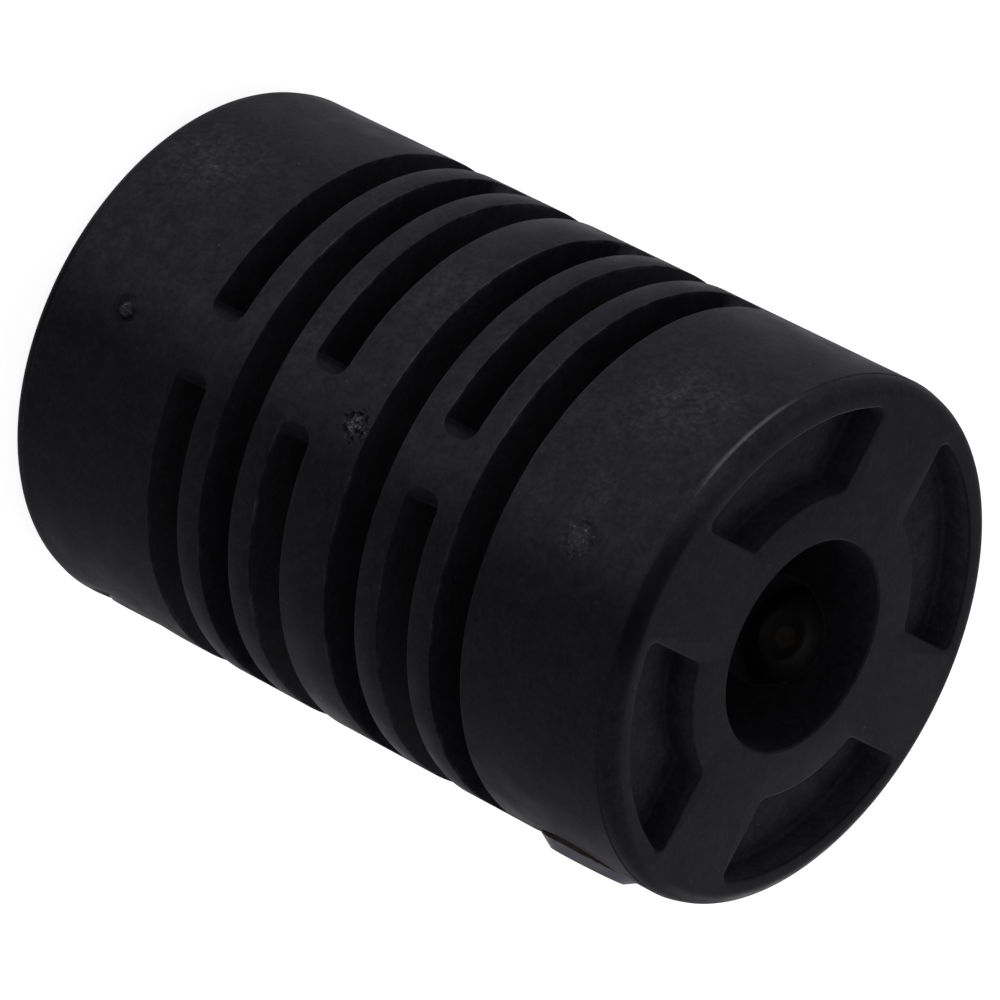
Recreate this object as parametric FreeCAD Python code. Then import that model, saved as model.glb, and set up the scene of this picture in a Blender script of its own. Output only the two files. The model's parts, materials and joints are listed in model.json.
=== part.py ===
import FreeCAD, Part

import math
import os

# Flexible shaft coupling, moulded in one piece, with two set screws in each hub.
# It stands on one end: its axis is Z, and the origin is the centre of the lower end face.
# Lengths are in millimetres and angles in degrees.

# Body: two hubs, and between them thin rings joined by webs that alternate by a quarter turn
outer_diameter = 15.0
bore_diameter = 6.0
hub_length = 5.275
slot_width = 1.1
slots_per_half = 3
ring_thickness = 0.8
middle_land = 1.65
web_thickness = 1.55
slot_corner_radius = 0.42

# End faces: a rounded rim with a fine mould step, a bore collar and four pockets
rim_radius = 0.45
rim_flats = 4
rim_step = 0.03
bore_edge_break = 0.08
rim_wall = 0.8
collar_wall = 1.35
pocket_depth = 0.95
pocket_corner_radius = 0.26

# Set screws: each hole runs under a rib of the end face, with a little plastic on every side
screw_diameter = 3.0
thread_clearance = 0.02
rib_cover = 0.055
screw_cover = 0.03
upper_screw_shift = 0.43
screw_proud = 0.22
screw_tip_gap = 0.72
lower_screw_sunk = 0.27
second_screw_sunk = 0.37
cup_point_diameter = 1.4
cup_point_angle = 120.0
screw_end_chamfer = 0.25
screw_end_taper = 0.4
socket_key = 1.5
socket_depth = 1.5

# Gate marks: torn stubs in shallow dishes, in line with one row of webs
gate_dish_diameter = 0.95
gate_dish_depth = 0.09
gate_stub_diameter = 0.42
gate_stub_height = 0.1
gate_offset = 0.14
gate_inset = 2.8
middle_gate_shift = 0.3

outer_radius = outer_diameter / 2
bore_radius = bore_diameter / 2
slot_pitch = slot_width + ring_thickness
half_length = hub_length + slots_per_half * slot_width + (slots_per_half - 1) * ring_thickness + middle_land / 2
overall_length = 2 * half_length
hole_radius = screw_diameter / 2 + thread_clearance
rib_width = 2 * (hole_radius + rib_cover)
screw_level = pocket_depth + screw_cover + hole_radius
screw_length = outer_radius + screw_proud - bore_radius - screw_tip_gap
clear = 1.0    # how far a cutting shape runs past the surface that it cuts

centre = FreeCAD.Vector(0, 0, 0)
y_axis = FreeCAD.Vector(0, 1, 0)
z_axis = FreeCAD.Vector(0, 0, 1)


def side_point(radius, height):
    return FreeCAD.Vector(radius, 0, height)


def polyline(points):
    return [Part.makeLine(a, b) for a, b in zip(points, points[1:])]


def corner_arc(start, middle, end):
    return Part.Arc(start, middle, end).toShape()


def turned(edges):
    # a solid of revolution about Z from a closed outline in the XZ plane
    return Part.Face(Part.Wire(edges)).revolve(centre, z_axis, 360)


def rim_points():
    # the lower rim's quarter round as a few narrow flats, from the end face out to the cylinder
    rim_outer = outer_radius - rim_step
    points = []
    for i in range(rim_flats + 1):
        angle = math.radians(90 - 90 * i / rim_flats)
        inwards = rim_radius * (1 - math.cos(angle))
        upwards = rim_radius * (1 - math.sin(angle))
        points.append(side_point(rim_outer - inwards, upwards))
    points.append(side_point(outer_radius, rim_radius))
    return points


def bore_points():
    # the lower mouth of the bore, with its broken edge
    return [side_point(bore_radius, bore_edge_break), side_point(bore_radius + bore_edge_break, 0)]


def upside_down(points):
    return [side_point(point.x, overall_length - point.z) for point in reversed(points)]


def body_blank():
    # the plain sleeve: bore, flat ends, rounded rims that sit one mould step inside the cylinder
    lower = bore_points() + rim_points()
    outline = lower + upside_down(lower)
    return turned(polyline(outline + outline[:1]))


def slot_levels():
    first = hub_length + slot_width / 2
    lower = [first + i * slot_pitch for i in range(slots_per_half)]
    upper = [overall_length - level for level in reversed(lower)]
    return lower + upper


def slot_blade():
    # the mould blade for half of a slot: a plate with a rounded nose that stops at the web
    nose = web_thickness / 2
    reach = outer_radius + clear
    half = slot_width / 2
    radius = min(slot_corner_radius, 0.98 * half)
    bend = radius - radius * math.sin(math.radians(45))
    low_flat = side_point(nose + radius, -half)
    low_nose = side_point(nose, -half + radius)
    high_nose = side_point(nose, half - radius)
    high_flat = side_point(nose + radius, half)
    edges = [
        corner_arc(low_flat, side_point(nose + bend, -half + bend), low_nose),
        Part.makeLine(low_nose, high_nose),
        corner_arc(high_nose, side_point(nose + bend, half - bend), high_flat),
    ]
    edges += polyline([high_flat, side_point(reach, half), side_point(reach, -half), low_flat])
    blade = Part.Face(Part.Wire(edges)).extrude(y_axis * (2 * reach))
    blade.translate(y_axis * -reach)
    return blade


def slots():
    # webs stand front and back in one slot, left and right in the next
    cuts = []
    for index, level in enumerate(slot_levels()):
        for side in (0, 180):
            blade = slot_blade()
            blade.rotate(centre, z_axis, side + 90 * (index % 2))
            blade.translate(z_axis * level)
            cuts.append(blade)
    return cuts


def pocket():
    # one quarter of the end recess, between the collar, the rim and two ribs, open at z = 0
    inner = bore_radius + collar_wall
    outer = outer_radius - rim_wall
    edge = rib_width / 2
    inner_end = math.sqrt(inner ** 2 - edge ** 2)
    outer_end = math.sqrt(outer ** 2 - edge ** 2)
    diagonal = math.cos(math.radians(45))
    points = [
        FreeCAD.Vector(inner_end, edge, 0),
        FreeCAD.Vector(outer_end, edge, 0),
        FreeCAD.Vector(edge, outer_end, 0),
        FreeCAD.Vector(edge, inner_end, 0),
    ]
    outline = Part.Wire([
        Part.makeLine(points[0], points[1]),
        corner_arc(points[1], FreeCAD.Vector(outer * diagonal, outer * diagonal, 0), points[2]),
        Part.makeLine(points[2], points[3]),
        corner_arc(points[3], FreeCAD.Vector(inner * diagonal, inner * diagonal, 0), points[0]),
    ])
    outline.translate(z_axis * -clear)
    block = Part.Face(outline).extrude(z_axis * (pocket_depth + clear))
    uprights = [side for side in block.Edges if side.BoundBox.ZLength > pocket_depth / 2]
    return block.makeFillet(pocket_corner_radius, uprights)


def pockets():
    cuts = []
    for quarter in range(4):
        low = pocket()
        low.rotate(centre, z_axis, 90 * quarter)
        high = low.mirror(FreeCAD.Vector(0, 0, half_length), z_axis)
        cuts += [low, high]
    return cuts


def screw_places():
    # name, height, turn about the axis, gap from the bore wall to the cup point; only one screw stands proud,
    # and the upper holes are drilled a little further in than the lower ones
    upper_level = overall_length - screw_level - upper_screw_shift
    second_gap = screw_tip_gap - second_screw_sunk
    return [
        ("set_screw_lower_x", screw_level, 0, screw_tip_gap - lower_screw_sunk),
        ("set_screw_lower_y", screw_level, 90, second_gap),
        ("set_screw_upper_x", upper_level, 0, screw_tip_gap),
        ("set_screw_upper_y", upper_level, 90, second_gap),
    ]


def point_outwards(shape, turn, level):
    # lays a shape that was made along Z out along a radius of the coupling
    shape.rotate(centre, y_axis, 90)
    shape.rotate(centre, z_axis, turn)
    shape.translate(z_axis * level)
    return shape


def screw_holes():
    cuts = []
    for name, level, turn, gap in screw_places():
        hole = Part.makeCylinder(hole_radius, outer_radius + clear, centre, z_axis)
        cuts.append(point_outwards(hole, turn, level))
    return cuts


def gate_dish():
    # the shallow dish round a torn gate stub; Z points out of the body, which starts at z = 0
    dish = gate_dish_diameter / 2
    stub = gate_stub_diameter / 2
    outline = [
        side_point(stub, -gate_dish_depth),
        side_point(dish - gate_dish_depth, -gate_dish_depth),
        side_point(dish, 0),
        side_point(dish, clear),
        side_point(0, clear),
        side_point(0, gate_stub_height - gate_dish_depth),
        side_point(stub * 0.7, gate_stub_height - gate_dish_depth),
        side_point(stub, -gate_dish_depth),
    ]
    return turned(polyline(outline))


def gate_dishes():
    turn = math.degrees(math.asin(gate_offset / outer_radius)) - 90
    cuts = []
    for level in (gate_inset, half_length + middle_gate_shift, overall_length - gate_inset):
        dish = gate_dish()
        dish.translate(z_axis * outer_radius)
        cuts.append(point_outwards(dish, turn, level))
    return cuts


def coupling_body():
    cuts = slots() + pockets() + screw_holes() + gate_dishes()
    return body_blank().cut(cuts).removeSplitter()


def hex_socket():
    # key recess with its mouth at z = 0, going down
    corner = socket_key / 2 / math.cos(math.radians(30))
    corners = [
        FreeCAD.Vector(corner * math.cos(math.radians(60 * i)), corner * math.sin(math.radians(60 * i)), 0)
        for i in range(7)
    ]
    return Part.Face(Part.makePolygon(corners)).extrude(z_axis * -socket_depth)


def set_screw():
    # headless screw along Z: cup point at z = 0, key socket at the far end; the thread is left plain
    radius = screw_diameter / 2
    cup = cup_point_diameter / 2
    cup_depth = cup / math.tan(math.radians(cup_point_angle / 2))
    outline = [
        side_point(0, cup_depth),
        side_point(cup, 0),
        side_point(radius, radius - cup),
        side_point(radius, screw_length - screw_end_chamfer),
        side_point(radius - screw_end_taper, screw_length),
        side_point(0, screw_length),
        side_point(0, cup_depth),
    ]
    socket = hex_socket()
    socket.translate(z_axis * screw_length)
    return turned(polyline(outline)).cut(socket)


def set_screws():
    screws = {}
    for name, level, turn, gap in screw_places():
        screw = set_screw()
        screw.translate(z_axis * (bore_radius + gap))
        screws[name] = point_outwards(screw, turn, level)
    return screws


nodes = {"coupling_body": coupling_body()}
nodes.update(set_screws())

os.makedirs("parts", exist_ok=True)
for name, shape in nodes.items():
    shape.exportStep("parts/" + name + ".step")
    box = shape.BoundBox
    size = (round(box.XLength, 3), round(box.YLength, 3), round(box.ZLength, 3))
    print(name, "solids", len(shape.Solids), "valid", shape.isValid(), "volume", round(shape.Volume, 3), "size", size)
print("overall length", round(overall_length, 3), "screw level", round(screw_level, 3),
      "screw length", round(screw_length, 3), "rib width", round(rib_width, 3))
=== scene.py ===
import json
import math

import bpy
from mathutils import Matrix, Vector


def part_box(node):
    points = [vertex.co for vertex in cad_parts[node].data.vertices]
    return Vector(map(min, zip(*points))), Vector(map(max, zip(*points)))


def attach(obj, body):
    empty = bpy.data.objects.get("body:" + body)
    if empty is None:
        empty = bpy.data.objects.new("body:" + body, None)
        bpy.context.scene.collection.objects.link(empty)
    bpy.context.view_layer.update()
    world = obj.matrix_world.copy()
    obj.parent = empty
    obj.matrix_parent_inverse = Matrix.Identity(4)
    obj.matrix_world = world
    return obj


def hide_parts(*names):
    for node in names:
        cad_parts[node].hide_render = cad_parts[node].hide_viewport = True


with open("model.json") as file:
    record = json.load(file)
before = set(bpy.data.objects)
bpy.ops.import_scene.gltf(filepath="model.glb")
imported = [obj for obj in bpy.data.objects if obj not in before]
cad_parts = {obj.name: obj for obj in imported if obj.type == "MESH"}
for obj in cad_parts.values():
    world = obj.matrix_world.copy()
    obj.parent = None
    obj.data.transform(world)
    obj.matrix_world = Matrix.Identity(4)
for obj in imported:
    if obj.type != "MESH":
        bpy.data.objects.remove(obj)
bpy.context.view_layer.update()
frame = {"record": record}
mm = 0.001
sameSpot = 0.0005 * mm  # points closer than this are one point
upAxis = Vector((0, 0, 1))


# Hands: small helpers for modelling

def focus(piece):  # only this piece is selected, in object mode
    if bpy.context.object and bpy.context.object.mode != "OBJECT":
        bpy.ops.object.mode_set(mode="OBJECT")
    bpy.ops.object.select_all(action="DESELECT")
    if piece:
        bpy.context.view_layer.objects.active = piece
        piece.select_set(True)


def settle(piece):  # place, turn and scale go into the mesh
    focus(piece)
    bpy.ops.object.transform_apply(location=True, rotation=True, scale=True)
    return piece


def editAll(piece):
    focus(piece)
    bpy.ops.object.mode_set(mode="EDIT")
    bpy.ops.mesh.select_mode(type="VERT")
    bpy.ops.mesh.select_all(action="SELECT")


def editNone(piece, kind):
    focus(piece)
    bpy.ops.object.mode_set(mode="EDIT")
    bpy.ops.mesh.select_mode(type=kind)
    bpy.ops.mesh.select_all(action="DESELECT")
    bpy.ops.object.mode_set(mode="OBJECT")


def pickFaces(piece, wanted):  # wanted is asked about each face's centre and normal
    editNone(piece, "FACE")
    for face in piece.data.polygons:
        face.select = wanted(face.center, face.normal)
    bpy.ops.object.mode_set(mode="EDIT")


def pickEdges(piece, wanted, sharperThan=0.0):  # wanted is asked about each edge's two ends
    editNone(piece, "EDGE")
    if sharperThan:
        bpy.ops.object.mode_set(mode="EDIT")
        bpy.ops.mesh.edges_select_sharp(sharpness=math.radians(sharperThan))
        bpy.ops.object.mode_set(mode="OBJECT")
    points = piece.data.vertices
    chosen = []
    for edge in piece.data.edges:
        if edge.select or not sharperThan:
            if wanted(points[edge.vertices[0]].co, points[edge.vertices[1]].co):
                chosen.append(edge.index)
    editNone(piece, "EDGE")
    for index in chosen:
        piece.data.edges[index].select = True
    bpy.ops.object.mode_set(mode="EDIT")


def facesOutwards(piece):
    editAll(piece)
    bpy.ops.mesh.remove_doubles(threshold=sameSpot)
    bpy.ops.mesh.normals_make_consistent(inside=False)
    focus(piece)
    return piece


def drawn(name, outline, closed=True):  # a wire from point to point, left in edit mode and selected
    focus(None)
    bpy.ops.mesh.primitive_plane_add(size=mm)
    piece = bpy.context.object
    piece.name = name
    editAll(piece)
    bpy.ops.mesh.merge(type="CENTER")
    bpy.ops.transform.translate(value=outline[0])
    ends = outline[1:] + outline[:1] if closed else outline[1:]
    for start, end in zip(outline, ends):
        bpy.ops.mesh.extrude_vertices_move(TRANSFORM_OT_translate={"value": end - start})
    editAll(piece)
    bpy.ops.mesh.remove_doubles(threshold=sameSpot)
    return piece


def section(*corners):  # an outline in the XZ plane, each corner a radius and a height
    return [Vector((radius, 0, height)) for radius, height in corners]


def turned(name, outline, steps):  # an outline in the XZ plane, closed or from axis to axis, spun about Z
    piece = drawn(name, outline, closed=outline[0].x > 0)
    bpy.ops.mesh.spin(steps=steps, angle=math.tau, use_auto_merge=True, center=(0, 0, 0), axis=upAxis)
    return facesOutwards(piece)


def copyOf(piece, turn=0.0, lift=0.0, flip=False):  # its own mesh, turned about Z, then raised
    focus(piece)
    bpy.ops.object.duplicate(linked=False)
    twin = bpy.context.object
    twin.rotation_euler.z = math.radians(turn)
    twin.scale.z = -1 if flip else 1
    twin.location.z = lift
    return facesOutwards(settle(twin))


def joined(pieces):
    focus(pieces[0])
    for piece in pieces:
        piece.select_set(True)
    bpy.ops.object.join()
    return pieces[0]


def cutWith(piece, cutter, operation="DIFFERENCE"):
    focus(piece)
    cut = piece.modifiers.new("cut", "BOOLEAN")
    cut.operation = operation
    cut.object = cutter
    cut.solver = "EXACT"
    bpy.ops.object.modifier_apply(modifier=cut.name)
    bpy.data.objects.remove(cutter)
    return piece


def smoothFinish(piece, angle):  # soft shading on curves, true flats, crisp edges past the angle
    focus(piece)
    bpy.ops.object.shade_smooth_by_angle(angle=math.radians(angle), keep_sharp_edges=False)
    weighted = piece.modifiers.new("weighted", "WEIGHTED_NORMAL")
    weighted.keep_sharp = True
    bpy.ops.object.modifier_apply(modifier=weighted.name)
    focus(None)


def fromAxis(point):
    return math.hypot(point.x, point.y)


def outwardsAt(azimuth, elevation):  # azimuth 0 is the -Y side
    azimuth, elevation = math.radians(azimuth), math.radians(elevation)
    return Vector((math.sin(azimuth) * math.cos(elevation), -math.cos(azimuth) * math.cos(elevation),
                   math.sin(elevation)))


# Sleeve: the black moulding

sleeveMm = {
    "hubLength": 5.275,
    "slotWidth": 1.1,
    "ringThickness": 0.8,
    "slotsPerHalf": 3,
    "webThickness": 1.55,
    "slotCorner": 0.42,
    "rimRadius": 0.45,
    "rimStep": 0.03,
    "boreEdge": 0.05,
    "rimWall": 0.8,
    "collarWall": 1.35,
    "pocketDepth": 0.95,
    "pocketCorner": 0.26,
    "pocketFloorRound": 0.12,
    "ribWidth": 3.15,
    "screwHole": 1.52,
    "slotEdge": 0.045,
    "pocketEdge": 0.06,
    "flareWidth": 0.3,
    "flareDepth": 0.2,
    "roundSteps": 288,  # whole numbers are counts or degrees
    "rimSteps": 8,
    "noseSteps": 6,
    "collarSteps": 16,
    "cornerSteps": 6,
    "rimCornerSteps": 8,
    "rimWallSteps": 24,
    "pocketRoundSteps": 4,
    "holeSteps": 96,
    "gateSteps": 36,
    "slotEdgeAngle": 40,
    "crispAngle": 32,
}

gateMarks = [  # torn gates in line with the front webs: a dish round a low lump, both ragged; lengths in mm
    {"level": 2.8, "dish": 0.44, "groove": 0.12, "lump": 0.25, "sunk": 0.01, "grain": 0.22, "tear": 0.22,
     "whitenedAndGlints": 0.35},
    {"level": 11.3, "dish": 0.48, "groove": 0.11, "lump": 0.30, "sunk": 0.05, "grain": 0.13, "tear": 0.38,
     "whitenedAndGlints": 0.9},
    {"level": 19.2, "dish": 0.62, "groove": 0.09, "lump": 0.36, "sunk": 0.00, "grain": 0.28, "tear": 0.22,
     "whitenedAndGlints": 0.22},
]
gateAzimuth = 1.07

bodyLow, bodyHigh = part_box("coupling_body")
sleeveRadius = bodyHigh.x
sleeveLength = bodyHigh.z
boreRadius = frame["record"]["mounts"][0]["dims"]["r_mm"] * mm
past = 1.0 * mm  # how far a cutting shape runs past the surface that it cuts


def inMetres(values):
    return {key: value if isinstance(value, int) else value * mm for key, value in values.items()}


def sleeveOutline(size):  # half of the section: mouth of the bore, end face, rim with its fine step
    rimOuter = sleeveRadius - size["rimStep"]
    rim = size["rimRadius"]
    corners = [(boreRadius, size["boreEdge"]), (boreRadius + size["boreEdge"], 0)]
    for step in range(size["rimSteps"] + 1):
        angle = math.radians(90 * step / size["rimSteps"])
        corners.append((rimOuter - rim * (1 - math.sin(angle)), rim * (1 - math.cos(angle))))
    corners.append((sleeveRadius, rim + size["rimStep"] / 2))
    low = section(*corners)
    high = [Vector((point.x, 0, sleeveLength - point.z)) for point in reversed(low)]
    return low + high


def slotLevels(size):
    pitch = size["slotWidth"] + size["ringThickness"]
    low = [size["hubLength"] + size["slotWidth"] / 2 + i * pitch for i in range(size["slotsPerHalf"])]
    return low + [sleeveLength - level for level in reversed(low)]


def slotBlade(size):  # half of a slot: a plate with a rounded nose that stops at the web
    nose = size["webThickness"] / 2
    reach = sleeveRadius + past
    focus(None)
    bpy.ops.mesh.primitive_cube_add(size=1, location=((nose + reach) / 2, 0, 0),
                                    scale=(reach - nose, 2 * reach, size["slotWidth"]))
    blade = settle(bpy.context.object)
    near = past / 10
    pickEdges(blade, lambda a, b: max(abs(a.x - nose), abs(b.x - nose), abs(a.z - b.z)) < near)
    bpy.ops.mesh.bevel(offset=size["slotCorner"], segments=size["noseSteps"], profile=0.5, affect="EDGES")
    focus(blade)
    return blade


def cutSlots(sleeve, size):
    pattern = slotBlade(size)
    blades = []
    for index, level in enumerate(slotLevels(size)):
        for side in (0, 180):
            blades.append(copyOf(pattern, turn=side + 90 * (index % 2), lift=level))
    bpy.data.objects.remove(pattern)
    cutWith(sleeve, joined(blades))


def arcPoints(centre, radius, start, end, steps):
    angles = [math.radians(start + (end - start) * step / steps) for step in range(steps + 1)]
    return [centre + radius * Vector((math.cos(angle), math.sin(angle), 0)) for angle in angles]


def pocketPlan(size):  # a quarter recess at its mouth, which is one edge round wider than its walls
    inner = boreRadius + size["collarWall"] - size["pocketEdge"]
    outer = sleeveRadius - size["rimWall"] + size["pocketEdge"]
    corner = size["pocketCorner"] + size["pocketEdge"]
    level = size["ribWidth"] / 2 - size["pocketEdge"] + corner
    low = Vector((math.sqrt((inner + corner) ** 2 - level ** 2), level, 0))
    high = Vector((math.sqrt((outer - corner) ** 2 - level ** 2), level, 0))
    lowTurn = math.degrees(math.atan2(low.y, low.x))
    highTurn = math.degrees(math.atan2(high.y, high.x))
    centre = Vector((0, 0, 0))
    half = arcPoints(centre, inner, 45, lowTurn, size["collarSteps"])[:-1]
    half += arcPoints(low, corner, lowTurn + 180, 270, size["cornerSteps"])
    half += arcPoints(high, corner, -90, highTurn, size["rimCornerSteps"])[:-1]
    half += arcPoints(centre, outer, highTurn, 45, size["rimWallSteps"])
    return half + [Vector((point.y, point.x, 0)) for point in reversed(half[1:-1])]


def pocketBlock(size):  # a quarter of the end recess, with a rounded mouth, corners and floor
    block = drawn("pocket", [point - upAxis * past for point in pocketPlan(size)])
    bpy.ops.mesh.edge_face_add()
    bpy.ops.mesh.extrude_region_move(TRANSFORM_OT_translate={"value": upAxis * past})
    facesOutwards(block)
    pickFaces(block, lambda middle, normal: normal.z > 0.9)
    steps = size["pocketRoundSteps"]
    angles = [math.radians(90 * step / steps) for step in range(steps + 1)]
    for start, end in zip(angles, angles[1:]):
        bpy.ops.mesh.inset(thickness=size["pocketEdge"] * (math.sin(end) - math.sin(start)),
                           depth=size["pocketEdge"] * (math.cos(start) - math.cos(end)))
    wall = size["pocketDepth"] - size["pocketEdge"] - size["pocketFloorRound"]
    bpy.ops.mesh.extrude_region_move(TRANSFORM_OT_translate={"value": upAxis * wall})
    for start, end in zip(angles, angles[1:]):
        bpy.ops.mesh.inset(thickness=size["pocketFloorRound"] * (math.cos(start) - math.cos(end)),
                           depth=size["pocketFloorRound"] * (math.sin(end) - math.sin(start)))
    return facesOutwards(block)


def cutPockets(sleeve, size):
    pattern = pocketBlock(size)
    blocks = []
    for quarter in range(4):
        blocks.append(copyOf(pattern, turn=90 * quarter))
        blocks.append(copyOf(pattern, turn=90 * quarter, lift=sleeveLength, flip=True))
    bpy.data.objects.remove(pattern)
    cutWith(sleeve, joined(blocks))


def layOut(piece, turn, level):  # a shape made along Z is laid out along a radius of the sleeve
    tipped = Matrix.Rotation(math.radians(90), 3, "Y")
    piece.rotation_euler = (Matrix.Rotation(math.radians(turn), 3, "Z") @ tipped).to_euler()
    piece.location.z = level
    return facesOutwards(settle(piece))


def screwPlaces():  # node name, turn about the axis, height, radius of the tip
    places = []
    for end in ("lower", "upper"):
        for side, turn in (("x", 0), ("y", 90)):
            name = "set_screw_" + end + "_" + side
            low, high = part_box(name)
            places.append((name, turn, (low.z + high.z) / 2, low.x if side == "x" else low.y))
    return places


def screwLevels():  # in millimetres; the two screws of a hub are level
    return [level / mm for name, turn, level, tip in screwPlaces() if turn == 0]


def cutScrewHoles(sleeve, size):  # their mouths are a little flared
    drills = []
    hole = size["screwHole"]
    mouth = hole + size["flareWidth"]
    bottom = boreRadius - past
    lid = sleeveRadius + past
    outline = section((0, bottom), (hole, bottom), (hole, sleeveRadius - size["flareDepth"]),
                      (mouth, sleeveRadius), (mouth, lid), (0, lid))
    for name, turn, level, tip in screwPlaces():
        drills.append(layOut(turned("drill", outline, size["holeSteps"]), turn, level))
    cutWith(sleeve, joined(drills))


def ragged(piece, grain, strength):  # cloud noise moves its points up and down
    focus(piece)
    tear = bpy.data.textures.new("tear", "CLOUDS")
    tear.noise_scale = grain
    tear.noise_depth = 3
    rough = piece.modifiers.new("rough", "DISPLACE")
    rough.texture = tear
    rough.direction = "Z"  # heights only, so that it never folds over itself
    rough.strength = strength
    bpy.ops.object.modifier_apply(modifier=rough.name)
    return piece


def gateCutter(size):  # what tearing the gate off took away; its floor rises to the lump in the middle
    surface = sleeveRadius
    floor = surface - size["groove"]
    lumpTop = surface - size["sunk"]
    crown = size["lump"] * 0.7  # the flat of the lump
    spread = size["dish"] / 4  # the wall's slope; a ragged height then gives a ragged edge
    rim = size["dish"] + spread
    lid = surface + past / 2
    outline = section((0, lumpTop), (crown, lumpTop), (size["lump"], floor), (size["dish"] - spread, floor),
                      (rim, surface + size["groove"]), (rim, lid), (0, lid))
    cutter = turned("gate", outline, sleeveMm["gateSteps"])
    editAll(cutter)
    bpy.ops.mesh.subdivide(number_cuts=3)
    return ragged(cutter, size["grain"], size["tear"])


def tearGates(sleeve):
    cutters = []
    for mark in gateMarks:
        size = inMetres(mark)
        cutters.append(layOut(gateCutter(size), gateAzimuth - 90, size["level"]))
    cutWith(sleeve, joined(cutters))


def offWall(point):
    return abs(fromAxis(point) - sleeveRadius)


def makeSleeve():
    size = inMetres(sleeveMm)
    sleeve = turned("sleeve", sleeveOutline(size), size["roundSteps"])
    cutSlots(sleeve, size)
    cutPockets(sleeve, size)
    cutScrewHoles(sleeve, size)
    facesOutwards(sleeve)
    near = 0.02 * mm
    pickEdges(sleeve, lambda a, b: max(offWall(a), offWall(b)) < near, sharperThan=size["slotEdgeAngle"])
    bpy.ops.mesh.bevel(offset=size["slotEdge"], segments=2, profile=0.5, affect="EDGES", clamp_overlap=False)
    focus(sleeve)
    tearGates(sleeve)
    smoothFinish(sleeve, size["crispAngle"])
    return sleeve


sleeve = makeSleeve()
print("sleeve made:", len(sleeve.data.polygons), "faces")


# Set screws: M3 thread, cup point, hex socket

screwMm = {
    "crestRadius": 1.48,
    "pitch": 0.5,
    "threadDepth": 0.27,
    "crestFlat": 0.07,
    "rootFlat": 0.12,
    "cupRadius": 0.7,
    "cupDepth": 0.406,
    "cupInner": 0.651,  # the cup's edge is a narrow flat
    "cupOuter": 0.721,
    "endChamfer": 0.25,
    "endTaper": 0.4,
    "plainEnd": 0.6,
    "key": 1.5,
    "socketDepth": 1.5,
    "drillPoint": 0.35,
    "drillGap": 0.01,
    "socketMouth": 0.14,
    "threadSteps": 48,
    "tipSteps": 96,
    "drillSteps": 72,
    "crispAngle": 25,
}


def threadedRod(size, length):  # one thread profile screwed up the rod, cut off square at both ends
    root = size["crestRadius"] - size["threadDepth"]
    flank = (size["pitch"] - size["crestFlat"] - size["rootFlat"]) / 2
    heights = [0, size["rootFlat"], size["rootFlat"] + flank, size["pitch"] - flank, size["pitch"]]
    radii = [root, root, size["crestRadius"], size["crestRadius"], root]
    turnsBelow = 2
    start = -turnsBelow * size["pitch"]
    profile = section(*[(radius, start + height) for radius, height in zip(radii, heights)])
    rod = drawn("screw", profile, closed=False)
    focus(rod)
    thread = rod.modifiers.new("thread", "SCREW")
    thread.axis = "Z"
    thread.screw_offset = size["pitch"]
    thread.iterations = turnsBelow * 2 + math.ceil(length / size["pitch"])
    thread.steps = thread.render_steps = size["threadSteps"]
    thread.use_merge_vertices = True
    thread.merge_threshold = 0.001 * mm
    bpy.ops.object.modifier_apply(modifier=thread.name)
    facesOutwards(rod)
    for height, outer in ((0, False), (length, True)):
        editAll(rod)
        bpy.ops.mesh.bisect(plane_co=upAxis * height, plane_no=upAxis, use_fill=True, clear_outer=outer,
                            clear_inner=not outer, threshold=0.0001 * mm)
    return facesOutwards(rod)


def screwBlank(size, length):  # the cup point is at z = 0
    wide = size["crestRadius"] + past / 10
    top = length - size["plainEnd"] / 2
    outline = section((0, size["cupDepth"]), (size["cupInner"], 0), (size["cupOuter"], 0),
                      (wide, wide - size["cupRadius"]), (wide, top), (0, top))
    return turned("blank", outline, size["tipSteps"])


def plainEnd(size, length):  # the last turn, rolled smooth round the socket
    low = length - size["plainEnd"]
    crest = size["crestRadius"]
    core = crest - size["threadDepth"]
    outline = section((0, low), (core, low), (crest, low + size["threadDepth"] / 2),
                      (crest, length - size["endChamfer"]), (crest - size["endTaper"], length), (0, length))
    return turned("plainEnd", outline, size["tipSteps"])


def socketCutter(size, length):
    focus(None)
    corner = size["key"] / 2 / math.cos(math.radians(30))
    bpy.ops.mesh.primitive_cylinder_add(vertices=6, radius=corner, depth=size["socketDepth"] + past,
                                        location=(0, 0, length - (size["socketDepth"] - past) / 2))
    hexagon = settle(bpy.context.object)
    floor = length - size["socketDepth"]
    bore = size["key"] / 2 - size["drillGap"]
    mouth = corner + size["socketMouth"]
    outline = section((0, floor - size["drillPoint"]), (bore, floor), (bore, length - size["socketMouth"]),
                      (mouth, length), (mouth, length + past), (0, length + past))
    return cutWith(hexagon, turned("drill", outline, size["drillSteps"]), "UNION")


def makeScrews():
    size = inMetres(screwMm)
    low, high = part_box("set_screw_upper_x")
    length = high.x - low.x
    pattern = cutWith(threadedRod(size, length), screwBlank(size, length), "INTERSECT")
    cutWith(pattern, plainEnd(size, length), "UNION")
    cutWith(pattern, socketCutter(size, length))
    facesOutwards(pattern)
    made = {}
    for name, turn, level, tip in screwPlaces():
        screw = layOut(copyOf(pattern, lift=tip), turn, level)
        smoothFinish(screw, size["crispAngle"])
        screw.name = name.replace("set_screw_", "setScrew_")
        made[name] = screw
    bpy.data.objects.remove(pattern)
    return made


screws = makeScrews()
print("set screws made:", len(next(iter(screws.values())).data.polygons), "faces each")


# Finishes

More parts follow.
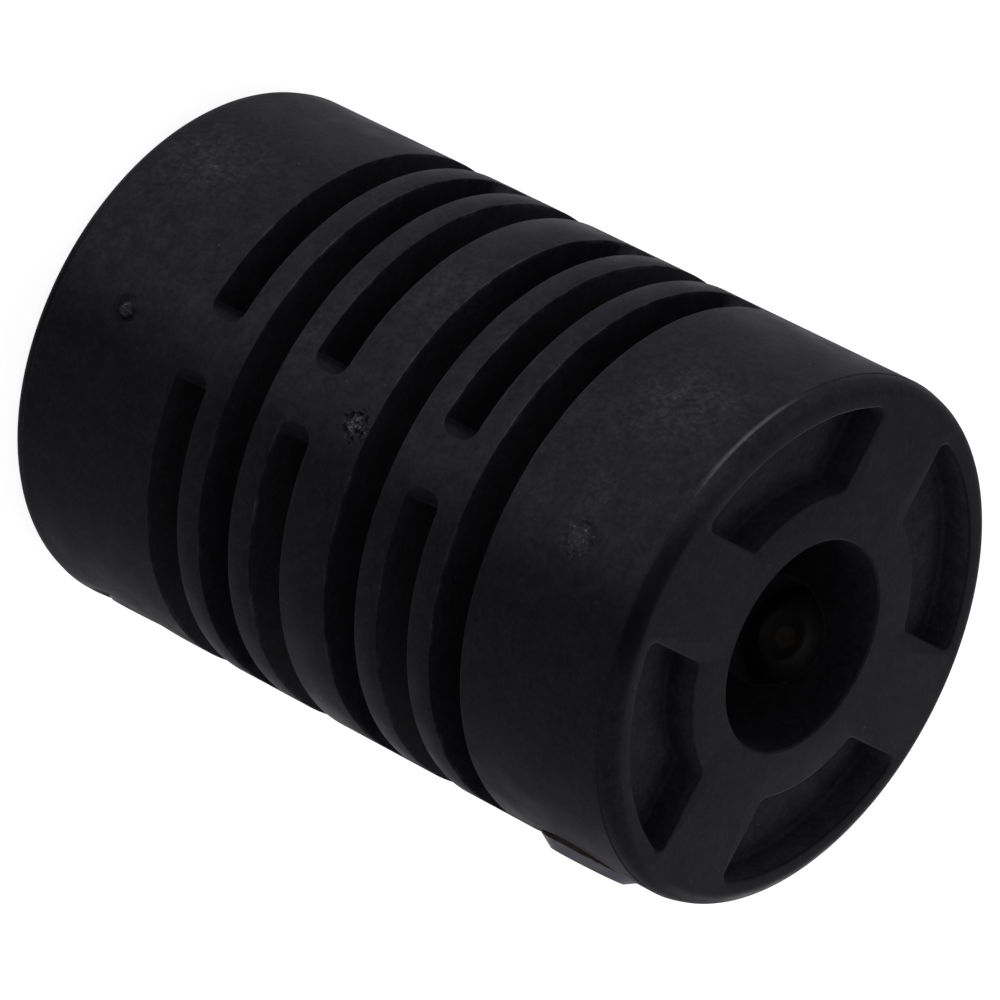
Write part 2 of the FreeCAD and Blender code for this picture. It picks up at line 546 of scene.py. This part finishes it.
class Reading:  # a socket in a sum: + - * / ** on it add Math nodes
    def __init__(self, finish, socket):
        self.finish, self.socket = finish, socket

    def maths(self, operation, *values):
        return self.finish.node("Math", {"operation": operation}, dict(enumerate(values)))

    def __add__(self, other):
        return self.maths("ADD", self, other)

    def __sub__(self, other):
        return self.maths("SUBTRACT", self, other)

    def __mul__(self, other):
        return self.maths("MULTIPLY", self, other)

    def __truediv__(self, other):
        return self.maths("DIVIDE", self, other)

    def __pow__(self, other):
        return self.maths("POWER", self, other)

    def least(self, other):
        return self.maths("MINIMUM", self, other)

    def most(self, other):
        return self.maths("MAXIMUM", self, other)

    def size(self):
        return self.maths("ABSOLUTE", self)

    def __rsub__(self, other):
        return self.maths("SUBTRACT", other, self)

    __radd__ = __add__
    __rmul__ = __mul__


class Finish:  # the nodes of a material or of the world
    def __init__(self, block, main):
        block.use_nodes = True
        self.block = block
        self.tree = block.node_tree
        self.main = self.tree.nodes[main]

    def node(self, kind, settings=None, sockets=None, out=0):  # type, then settings, then values or links
        made = self.tree.nodes.new("ShaderNode" + kind)
        for key, value in (settings or {}).items():
            setattr(made, key, value)
        for key, value in (sockets or {}).items():
            self.feed(made.inputs[key], value)
        return Reading(self, made.outputs[out])

    def feed(self, socket, value):
        if isinstance(value, Reading):
            self.tree.links.new(value.socket, socket)
        else:
            socket.default_value = value

    def look(self, **values):  # an underscore in a name stands for a space
        for key, value in values.items():
            self.feed(self.main.inputs[key.replace("_", " ")], value)

    def noise(self, place, featureMm, detail=2.0, roughness=0.5):
        return self.node("TexNoise", {}, {"Vector": place, "Scale": 1 / (featureMm * mm), "Detail": detail,
                                          "Roughness": roughness})

    def ramp(self, value, start, end, low=0.0, high=1.0):  # a soft step from low to high
        return self.node("MapRange", {"interpolation_type": "SMOOTHSTEP"},
                         {"Value": value, "From Min": start, "From Max": end, "To Min": low, "To Max": high})

    def band(self, value, start, full, last, end):  # whole from full to last, soft at both sides
        return self.ramp(value, start, full) * self.ramp(value, end, last)

    def blend(self, share, first, second):
        return self.node("Mix", {"data_type": "RGBA"}, {0: share, 6: first, 7: second}, 2)

    def distance(self, place, point):
        return self.node("VectorMath", {"operation": "DISTANCE"}, {0: place, 1: point}, "Value") / mm

    def scaled(self, colour, shade):
        return self.node("VectorMath", {"operation": "SCALE"}, {0: colour, "Scale": shade})

    def others(self, reading, *names):  # more outputs of a node that is there already
        return [Reading(self, reading.socket.node.outputs[name]) for name in names]

    def bump(self, height, strength, depthMm):
        return self.node("Bump", {}, {"Height": height, "Strength": strength, "Distance": depthMm * mm})


def newFinish(name):
    return Finish(bpy.data.materials.new(name), "Principled BSDF")


def wear(piece, finish):
    piece.data.materials.clear()
    piece.data.materials.append(finish.block)


wallMm = sleeveRadius / mm
boreMm = boreRadius / mm
halfMm = sleeveLength / mm / 2


class Spot:  # where a point of the surface is: its place, for patterns, and lengths in millimetres
    def __init__(self, finish):
        self.place = finish.node("TexCoord", out="Object")
        axes = finish.others(finish.node("SeparateXYZ", {}, {0: self.place}), "X", "Y", "Z")
        self.x, self.y, self.z = [axis / mm for axis in axes]
        self.radius = (self.x * self.x + self.y * self.y) ** 0.5  # from the sleeve's axis
        self.under = wallMm - self.radius  # how deep under the sleeve's wall
        self.fromMiddle = (self.z - halfMm).size()
        self.fromEnd = halfMm - self.fromMiddle  # from the nearer end face
        self.aside = self.x.size().least(self.y.size())  # from the nearer plane through the screws
        low, high = [(self.z - level).size() for level in screwLevels()]
        rise = low.least(high)
        self.fromScrew = (self.aside * self.aside + rise * rise) ** 0.5  # from the nearest screw's axis


plasticLook = {
    "colour": (0.0117, 0.0113, 0.0144, 1.0),
    "hazeAndSheenColour": (0.0215, 0.0208, 0.0248, 1.0),
    # pale colour of torn plastic, also used for the painted glints
    "torn": (0.054, 0.051, 0.055, 1.0),
    "specular": 0.016,
    "coatRoughness": 0.3,
    "roughness": (0.44, 0.58),
    "bump": (0.35, 0.02),  # strength, and depth in mm
    "pitShade": 0.65,  # how light a place is beside the plain wall; the pit, rim, pocket, bore and hole levels are painted shade and painted light
    "rimShade": 0.92,
    "paintedRimBandShade": 0.35,
    "pocketShade": 1.65,
    "boreShade": 1.05,
    "holeShade": 2.6,
    "mottling": {"grain": 0.18, "fine": 0.10, "blotch": 0.16},  # how far each noise lightens and darkens
    "paintedRimBand": (0.5, 3.0, 1.0),  # its middle in x, and how far from it the painted shade begins and is whole
    # pale clouds; those on the lit side are painted sheen
    "hazeAndSheen": (  # azimuth, level, radius, amount
        (-36, 2.1, 3.4, 1.0),
        (-34, 19.3, 3.6, 1.0),
        (-34, 11.2, 3.0, 0.8),
        (-10, 19.0, 2.2, 0.6),
        (-12, 8.5, 2.2, 0.4),
        (150, 4.0, 4.0, 0.8),
        (-120, 17.5, 3.0, 0.6),
    ),
    "hazeCore": 1.2,
    "hazeWander": 2.4,
    "paintedRimGlint": (-34, 21.6, 3.0),  # azimuth, level, radius
    "sparkleSpacing": 0.32,
}

plasticNoises = {  # size in mm, detail and roughness
    "grain": (0.16, 3.0, 0.6),
    "fine": (0.07, 2.0, 0.5),
    "flow": (1.1, 4.0, 0.6),
    "blotch": (0.55, 3.0, 0.6),
    "shreds": (0.075, 3.0, 0.6),
    "glintBreaks": (1.3, 3.0, 0.6),
    "patches": (2.5, 2.0, 0.5),
}


def ontoSleeve(azimuth, level):
    return outwardsAt(azimuth, 0) * sleeveRadius + upAxis * level * mm


def hazeAndSheenClouds(finish, spot, noises):  # soft pale clouds, broken up by the grain: flow haze, and painted sheen on the lit side
    hazeAndSheen = 0.0
    wander = noises["flow"] * plasticLook["hazeWander"]
    for azimuth, level, size, amount in plasticLook["hazeAndSheen"]:
        away = finish.distance(spot.place, ontoSleeve(azimuth, level)) + wander
        hazeAndSheen = hazeAndSheen + finish.ramp(away, size, plasticLook["hazeCore"]) * amount
    hazeAndSheen = hazeAndSheen * finish.ramp(noises["grain"], 0.36, 0.66, 0.25, 1.0)
    return hazeAndSheen * finish.ramp(noises["flow"], 0.35, 0.6, 0.45, 1.0)


def tornGates(finish, spot, noises):  # the whitened shreds, partly painted glints, and painted shade in the pits round them
    scar = 0.0
    for gate in gateMarks:
        away = finish.distance(spot.place, ontoSleeve(gateAzimuth, gate["level"])) + noises["grain"] * 0.2
        scar = scar + finish.ramp(away, gate["dish"] + 0.10, gate["dish"] * 0.8) * gate["whitenedAndGlints"]
    # painted shade: the pits round the gate shreds are darkened
    paintedPitShade = finish.ramp(scar, 0.0, 0.2) * finish.ramp(spot.under, 0.07, 0.14)
    shreds = 0.15 + finish.ramp(noises["shreds"], 0.48, 0.66) * 0.85
    return scar * finish.ramp(spot.under, 0.12, 0.03) * shreds, paintedPitShade


def paintedEdgeGlints(finish, spot, noises):  # painted glints: a fine light line along the edges of the slots, but not on the webs
    pitch = sleeveMm["slotWidth"] + sleeveMm["ringThickness"]
    hubEdge = halfMm - sleeveMm["hubLength"]
    firstSlot = hubEdge - sleeveMm["slotsPerHalf"] * pitch + sleeveMm["ringThickness"]
    webHalf = sleeveMm["webThickness"] / 2
    # how far along its own slot and ring a point is
    along = finish.node("Math", {"operation": "WRAP"}, {0: spot.fromMiddle - firstSlot, 1: pitch, 2: 0.0})
    edge = along.least(pitch - along).least((along - sleeveMm["slotWidth"]).size())
    line = finish.ramp(edge, 0.06, 0.015) * finish.ramp(spot.under, 0.15, 0.05)
    line = line * finish.ramp(spot.fromMiddle, firstSlot - 0.225, firstSlot - 0.125)
    line = line * finish.ramp(spot.fromMiddle, hubEdge + 0.125, hubEdge + 0.075)
    line = line * finish.ramp(spot.aside, webHalf + 0.075, webHalf + 0.325)
    return line * finish.ramp(noises["glintBreaks"], 0.46, 0.66)


def paintedRimGlint(finish, spot, noises):  # a short painted highlight along the rim's step
    azimuth, level, size = plasticLook["paintedRimGlint"]
    away = finish.distance(spot.place, ontoSleeve(azimuth, level)) + noises["flow"]
    line = finish.band(spot.fromEnd, 0.35, 0.42, 0.45, 0.51) * finish.ramp(spot.under, 0.15, 0.08)
    return line * finish.ramp(away, size, 1.0)


def paintedSparkles(finish, spot, noises, hazeAndSheen):  # painted sparkles: pale dots, most of them in the pale clouds
    spacing = plasticLook["sparkleSpacing"] * mm
    cells = finish.node("TexVoronoi", {}, {"Vector": spot.place, "Scale": 1 / spacing}, "Distance")
    chosen = finish.ramp(finish.others(cells, "Color")[0], 0.60, 0.64)
    amount = finish.ramp(hazeAndSheen, 0.05, 0.4) * 0.9 + finish.ramp(noises["patches"], 0.50, 0.66) * 0.5
    return finish.ramp(cells, 0.11, 0.05) * chosen * amount


def where(share, level):  # 1 away from a place, and level in it
    return 1.0 + share * (level - 1.0)


def paintedShadeAndMottling(finish, spot, noises, paintedPitShade, paintedHoleLight):  # what the colour is multiplied by: painted shade and painted light, and random mottling
    look = plasticLook
    middle, begins, whole = look["paintedRimBand"]
    rimSize = sleeveMm["rimRadius"] + sleeveMm["rimStep"]
    collar = boreMm + sleeveMm["collarWall"]
    wall = wallMm - sleeveMm["rimWall"]
    floor = sleeveMm["pocketDepth"]
    # painted shade: the rounds of the rims are darkened
    rim = finish.band(spot.under, 0.01, 0.04, rimSize - 0.14, rimSize)
    rim = rim * finish.ramp(spot.fromEnd, rimSize, rimSize - 0.14)
    # painted shade: a dark band on the rim's round on the -Y side
    paintedRimBand = rim * finish.ramp((spot.x - middle).size(), begins, whole) * finish.ramp(spot.y, -5.0, -6.0)
    # painted light: the pockets' floors and walls are lightened, the rim walls most
    pocket = finish.band(spot.fromEnd, 0.04, 0.1, floor + 0.05, floor + 0.15)
    pocket = pocket * finish.band(spot.radius, collar - 0.15, collar - 0.05, wall + 0.04, wall + 0.1)
    pocket = pocket * finish.ramp(spot.radius, wall - 0.2, wall + 0.02, 1.0, 1.9)
    # painted light: the bore's wall is a little lightened
    bore = finish.ramp(spot.radius, boreMm + 0.08, boreMm + 0.03)
    shade = where(paintedPitShade, look["pitShade"]) * where(pocket, look["pocketShade"])
    shade = shade * where(rim, look["rimShade"]) * where(paintedRimBand, look["paintedRimBandShade"])
    for name, contrast in look["mottling"].items():
        shade = shade * finish.ramp(noises[name], 0.3, 0.7, 1.0 - contrast, 1.0 + contrast)
    return shade * (where(bore, look["boreShade"]) + paintedHoleLight * (look["holeShade"] - 1.0))


def blackPlastic():
    look = plasticLook
    finish = newFinish("blackPlastic")
    spot = Spot(finish)
    noises = {name: finish.noise(spot.place, *values) for name, values in plasticNoises.items()}
    grain, fine = noises["grain"], noises["fine"]
    hazeAndSheen = hazeAndSheenClouds(finish, spot, noises)
    scar, paintedPitShade = tornGates(finish, spot, noises)
    glint = paintedRimGlint(finish, spot, noises)
    sparkles = paintedSparkles(finish, spot, noises, hazeAndSheen)

    # the mouths of the screw holes have burrs with painted glints, and painted light lies in the holes
    fromHole = spot.fromScrew - sleeveMm["screwHole"]
    screwSide = finish.ramp(spot.x.most(spot.y), 2.0, 2.5)
    burrGlints = finish.band(fromHole, 0.16, 0.24, 0.32, 0.42) * finish.ramp(spot.under, 0.2, 0.1) * screwSide
    burrGlints = burrGlints * finish.ramp(fine, 0.52, 0.62)
    # painted light: the walls of the screw holes are lightened
    paintedHoleLight = finish.band(spot.radius, boreMm - 0.02, boreMm + 0.02, boreMm + 0.8, boreMm + 1.4)
    paintedHoleLight = paintedHoleLight * finish.ramp(fromHole, 0.08, 0.03) * screwSide

    edgeGlints = paintedEdgeGlints(finish, spot, noises)
    # painted glints on slot edges, rim step, burrs and sparkles, with the whitened gate shreds
    whitenedAndGlints = (edgeGlints * 0.45).most(glint * 0.4).most(scar).most(burrGlints * 0.5).most(sparkles)
    colour = finish.blend(whitenedAndGlints, finish.blend(hazeAndSheen, look["colour"], look["hazeAndSheenColour"]), look["torn"])
    finish.look(Base_Color=finish.scaled(colour, paintedShadeAndMottling(finish, spot, noises, paintedPitShade, paintedHoleLight)),
                Roughness=finish.ramp(noises["flow"], 0.3, 0.7, *look["roughness"]),
                Specular_IOR_Level=look["specular"], Coat_Roughness=look["coatRoughness"],
                Coat_Weight=scar * 0.8 + glint * 0.6 + sparkles * 0.3,
                Normal=finish.bump(grain * 0.7 + fine * 0.3, *look["bump"]))
    return finish


steelLook = {
    "bright": (0.066, 0.064, 0.073, 1.0),
    "edgeTint": (0.5, 0.5, 0.52, 1.0),
    "paintedMouthShade": (0.0135, 0.0105, 0.0085, 1.0),  # painted shade with a brownish painted reflection, where the thread meets the plastic
    "paintedTipShade": (0.026, 0.0255, 0.029, 1.0),  # painted shade on the cup point, deep in the dark bore
    "cup": (0.066, 0.056, 0.050, 1.0),
    "paintedFlankLight": (0.048, 0.047, 0.053, 1.0),
    "specular": 0.05,
    "cupRadius": 0.34,
    "tipShadeTo": 4.3,  # mm from the sleeve's axis
    "brightFrom": 5.6,
    "mouthShadeTo": 7.47,
    "turnedMarks": 22.0,  # to a mm
}


def plainSteel():
    look = steelLook
    finish = newFinish("plainSteel")
    spot = Spot(finish)
    worn = finish.noise(spot.place, 0.25, 4.0, 0.6)
    marks = finish.node("TexNoise", {"noise_dimensions": "1D"},
                        {"W": spot.radius, "Scale": look["turnedMarks"], "Detail": 3.0})
    mouthShade = finish.ramp(spot.x.most(spot.y) + worn * 0.06, look["mouthShadeTo"] + 0.04, look["mouthShadeTo"])
    mouthShade = mouthShade * finish.ramp(spot.fromScrew, 1.41, 1.45)
    # painted light in the cup's middle and on the point's flank, over painted shade
    inCup = finish.ramp(spot.fromScrew, look["cupRadius"], look["cupRadius"] * 0.8)
    tip = finish.blend(inCup, look["paintedTipShade"], look["cup"])
    tip = finish.blend(finish.ramp(spot.fromScrew, 0.66, 0.78), tip, look["paintedFlankLight"])
    bare = finish.ramp(spot.radius, look["tipShadeTo"], look["brightFrom"])
    colour = finish.blend(bare, tip, finish.blend(mouthShade, look["bright"], look["paintedMouthShade"]))
    finish.look(Base_Color=finish.scaled(colour, 0.6 + worn * 0.8), Metallic=bare,
                Roughness=0.2 + worn * 0.2 + marks * 0.12,
                Specular_IOR_Level=look["specular"], Specular_Tint=look["edgeTint"],
                Normal=finish.bump(marks, 0.2, 0.01))
    return finish


plastic = blackPlastic()
steel = plainSteel()
wear(sleeve, plastic)
for name, screw in screws.items():
    wear(screw, steel)
    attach(screw, "root")
    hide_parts(name)
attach(sleeve, "root")
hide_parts("coupling_body")
print("finishes made")


# Room: floor, lamps and camera

roomLook = {
    "floorSize": 3.0,  # metres
    "floorGrey": 0.35,  # what the floor gives back of the lamps' light
    "floorGlow": 0.90,  # what it shows by itself, so that it looks white and still keeps a shadow
    "mottleMm": 40.0,
    "mottleShade": 0.9,
    "worldLevel": 0.38,
}

lampValues = {  # azimuth from the shot's side towards +X, elevation above the floor, lengths in metres
    "back": {"azimuth": 180, "elevation": 62, "distance": 0.4, "size": 0.2, "level": 0.2},
    "fill": {"azimuth": 60, "elevation": 8, "distance": 0.4, "size": 0.1, "level": 0.15},
    "rear": {"azimuth": 165, "elevation": 5, "distance": 0.4, "size": 0.12, "level": 0.26},
    "edge": {"azimuth": -100, "elevation": 8, "distance": 0.4, "size": 0.1, "level": 0.06},
}

sideValues = {  # a spot from the side, flagged: the edge of its light runs down the sleeve
    "azimuth": -30,
    "distance": 0.4,
    "edgeAzimuth": 8.5,
    "edgeLean": 1.7,
    "coneAngle": 60,
    "edgeSoftness": 0.008,
    "lampRadius": 0.0009,
    "level": 0.85,
}

shotValues = {
    "azimuth": -0.359,
    "elevation": 34.961,
    "distance": 224.528 * mm,
    "aim": Vector((0.191, 0.123, 11.178)) * mm,
    "roll": 117.064,
    "lens": 301.04,
    "sensor": 36.0,
    "nearest": 1 * mm,
    "farthest": 100.0,
}


def seenDirectly(finish):  # by the camera, or in a reflection or through glass
    rays = ("Is Camera Ray", "Is Glossy Ray", "Is Transmission Ray")
    camera, glossy, through = finish.others(finish.node("LightPath"), *rays)
    return camera.most(glossy).most(through)


def makeFloor():
    focus(None)
    bpy.ops.mesh.primitive_grid_add(x_subdivisions=8, y_subdivisions=8, size=roomLook["floorSize"],
                                    location=(0, 0, bodyLow.z))
    floor = settle(bpy.context.object)
    floor.name = "floor"
    finish = newFinish("paleFloor")
    grey = roomLook["floorGrey"]
    darker = grey * roomLook["mottleShade"]
    mottled = finish.noise(finish.node("TexCoord", out="Object"), roomLook["mottleMm"], 3.0)
    finish.look(Base_Color=finish.blend(mottled, (grey, grey, grey, 1.0), (darker, darker, darker, 1.0)),
                Roughness=1.0, Specular_IOR_Level=0.0)
    glow = finish.node("Emission", {}, {"Strength": seenDirectly(finish) * roomLook["floorGlow"]})
    both = finish.node("AddShader", {}, {0: Reading(finish, finish.main.outputs[0]), 1: glow})
    finish.feed(finish.tree.nodes["Material Output"].inputs["Surface"], both)
    wear(floor, finish)


def makeWorld():
    world = bpy.data.worlds.new("room")
    bpy.context.scene.world = world
    finish = Finish(world, "Background")
    level = roomLook["worldLevel"]
    finish.look(Color=(1, 1, 1, 1), Strength=level + seenDirectly(finish) * (1.0 - level))


def makeLamps():
    for name, value in lampValues.items():
        direction = outwardsAt(value["azimuth"], value["elevation"])
        bpy.ops.object.light_add(type="AREA", location=shotValues["aim"] + direction * value["distance"])
        lamp = bpy.context.object
        lamp.name = name + "Lamp"
        lamp.rotation_euler = direction.to_track_quat("Z", "Y").to_euler()
        lamp.data.shape = "DISK"
        lamp.data.size = value["size"]
        # at level 1 it alone lights a white wall to white
        lamp.data.energy = value["level"] * (math.pi * value["distance"]) ** 2


def makeSideLamp():
    value = sideValues
    middle = upAxis * sleeveLength / 2
    place = middle + outwardsAt(value["azimuth"], 0) * value["distance"]
    edge = (middle + outwardsAt(value["edgeAzimuth"], 0) * sleeveRadius - place).normalized()
    edgeLine = Matrix.Rotation(math.radians(value["edgeLean"]), 3, edge) @ upAxis
    beam = Matrix.Rotation(math.radians(value["coneAngle"] / 2), 3, edgeLine) @ edge
    bpy.ops.object.light_add(type="SPOT", location=place)
    lamp = bpy.context.object
    lamp.name = "sideLamp"
    lamp.rotation_euler = (-beam).to_track_quat("Z", "Y").to_euler()
    lamp.data.spot_size = math.radians(value["coneAngle"])
    lamp.data.spot_blend = value["edgeSoftness"]
    lamp.data.shadow_soft_size = value["lampRadius"]
    lamp.data.energy = value["level"] * (2 * math.pi * value["distance"]) ** 2


def makeCamera():
    back = outwardsAt(shotValues["azimuth"], shotValues["elevation"])
    roll = Matrix.Rotation(math.radians(shotValues["roll"]), 3, "Z")
    bpy.ops.object.camera_add(location=shotValues["aim"] + back * shotValues["distance"])
    camera = bpy.context.object
    camera.rotation_euler = (back.to_track_quat("Z", "Y").to_matrix() @ roll).to_euler()
    camera.data.sensor_width = shotValues["sensor"]
    camera.data.lens = shotValues["lens"]
    camera.data.clip_start = shotValues["nearest"]
    camera.data.clip_end = shotValues["farthest"]
    bpy.context.scene.camera = camera


makeFloor()
makeWorld()
makeLamps()
makeSideLamp()
makeCamera()
bpy.context.scene.view_settings.view_transform = "Standard"
print("room, lamps and camera made")
